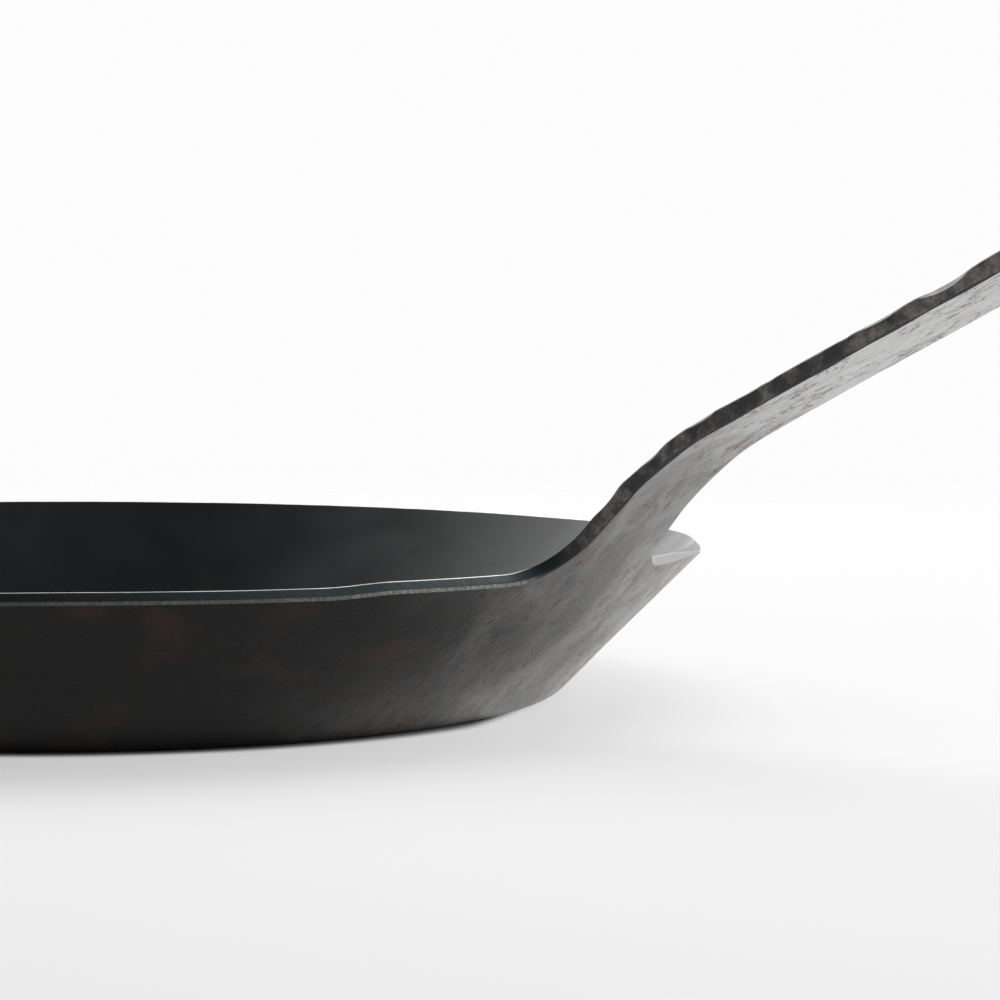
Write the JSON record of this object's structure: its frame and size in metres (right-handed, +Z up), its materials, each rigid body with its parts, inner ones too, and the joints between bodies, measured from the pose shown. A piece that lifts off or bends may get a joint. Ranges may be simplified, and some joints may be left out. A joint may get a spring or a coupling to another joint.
{
  "type": "frying pan",
  "caption": "Round forged iron frying pan with a shallow flared bowl and a long rising flat handle with a hanging eye.",
  "frame": {"origin": "centre of the base's underside, where the pan rests", "axes": "+Z up out of the bowl, +X from the bowl's centre towards the handle's tip"},
  "size_m": [0.5109, 0.28, 0.1525],
  "materials": {
    "bowl_steel": "hot-forged steel with dark blue-black scale, smooth inside, faint brown patches outside",
    "handle_steel": "hammered and wiped forged steel, satin grey below with fine scale cracks, dark hammered edges"
  },
  "bodies": {
    "root": {"bowl": "bowl_steel", "handle": "handle_steel"}
  },
  "joints": []
}
